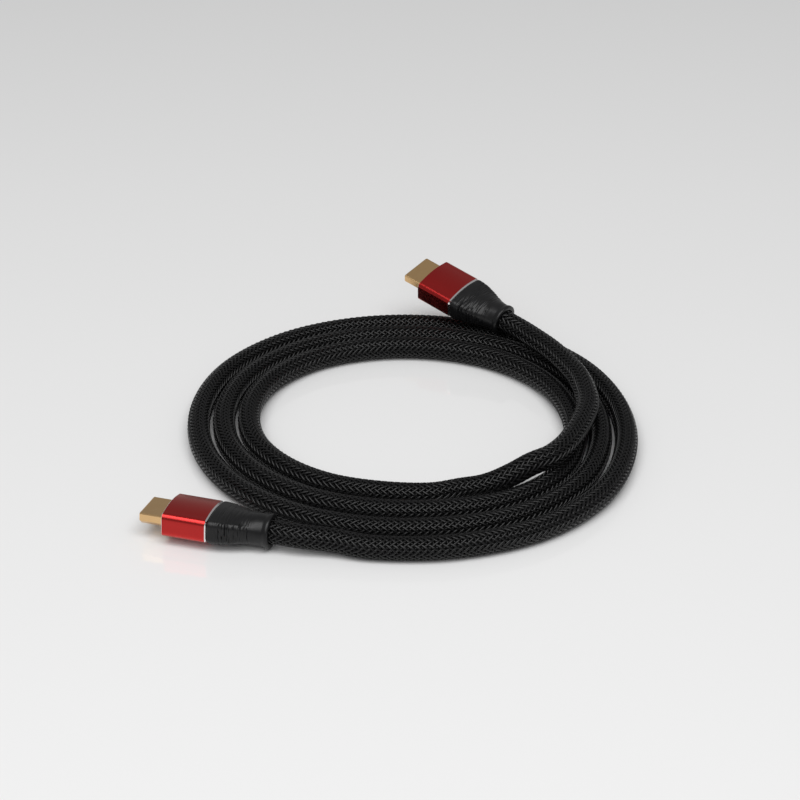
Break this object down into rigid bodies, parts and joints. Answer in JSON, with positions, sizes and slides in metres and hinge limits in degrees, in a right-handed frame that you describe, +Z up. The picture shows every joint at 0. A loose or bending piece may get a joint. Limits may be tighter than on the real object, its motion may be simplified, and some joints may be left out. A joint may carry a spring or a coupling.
{
  "type": "hdmi cable",
  "caption": "Thick braided video cable in loose coils on a flat surface, with a gold-plated plug in a red metal sleeve at each end.",
  "frame": {"origin": "centre of the base of the whole object's bounding box, on the surface that it lies on", "axes": "+X to the right and +Y away as seen from the side where the lower plug lies, +Z up"},
  "size_m": [0.1784, 0.188, 0.0274],
  "materials": {
    "braid": "glossy woven monofilament",
    "gold_plate": "polished gold plating",
    "contact_gold": "gold plated",
    "connector_plastic": "moulded",
    "overmould": "moulded",
    "red_anodised": "red anodised, with bright cut edges",
    "boot": "satin"
  },
  "bodies": {
    "root": {"braided_cable": "braid", "plug_a_shell": "gold_plate", "plug_a_insulator": "connector_plastic", "plug_a_contact_upper_1": "contact_gold", "plug_a_contact_upper_2": "contact_gold", "plug_a_contact_upper_3": "contact_gold", "plug_a_contact_upper_4": "contact_gold", "plug_a_contact_upper_5": "contact_gold", "plug_a_contact_upper_6": "contact_gold", "plug_a_contact_upper_7": "contact_gold", "plug_a_contact_upper_8": "contact_gold", "plug_a_contact_upper_9": "contact_gold", "plug_a_contact_upper_10": "contact_gold", "plug_a_contact_lower_1": "contact_gold", "plug_a_contact_lower_2": "contact_gold", "plug_a_contact_lower_3": "contact_gold", "plug_a_contact_lower_4": "contact_gold", "plug_a_contact_lower_5": "contact_gold", "plug_a_contact_lower_6": "contact_gold", "plug_a_contact_lower_7": "contact_gold", "plug_a_contact_lower_8": "contact_gold", "plug_a_contact_lower_9": "contact_gold", "plug_a_body": "overmould", "plug_a_sleeve": "red_anodised", "plug_a_strain_relief": "boot", "plug_b_shell": "gold_plate", "plug_b_insulator": "connector_plastic", "plug_b_contact_upper_1": "contact_gold", "plug_b_contact_upper_2": "contact_gold", "plug_b_contact_upper_3": "contact_gold", "plug_b_contact_upper_4": "contact_gold", "plug_b_contact_upper_5": "contact_gold", "plug_b_contact_upper_6": "contact_gold", "plug_b_contact_upper_7": "contact_gold", "plug_b_contact_upper_8": "contact_gold", "plug_b_contact_upper_9": "contact_gold", "plug_b_contact_upper_10": "contact_gold", "plug_b_contact_lower_1": "contact_gold", "plug_b_contact_lower_2": "contact_gold", "plug_b_contact_lower_3": "contact_gold", "plug_b_contact_lower_4": "contact_gold", "plug_b_contact_lower_5": "contact_gold", "plug_b_contact_lower_6": "contact_gold", "plug_b_contact_lower_7": "contact_gold", "plug_b_contact_lower_8": "contact_gold", "plug_b_contact_lower_9": "contact_gold", "plug_b_body": "overmould", "plug_b_sleeve": "red_anodised", "plug_b_strain_relief": "boot"}
  },
  "joints": []
}
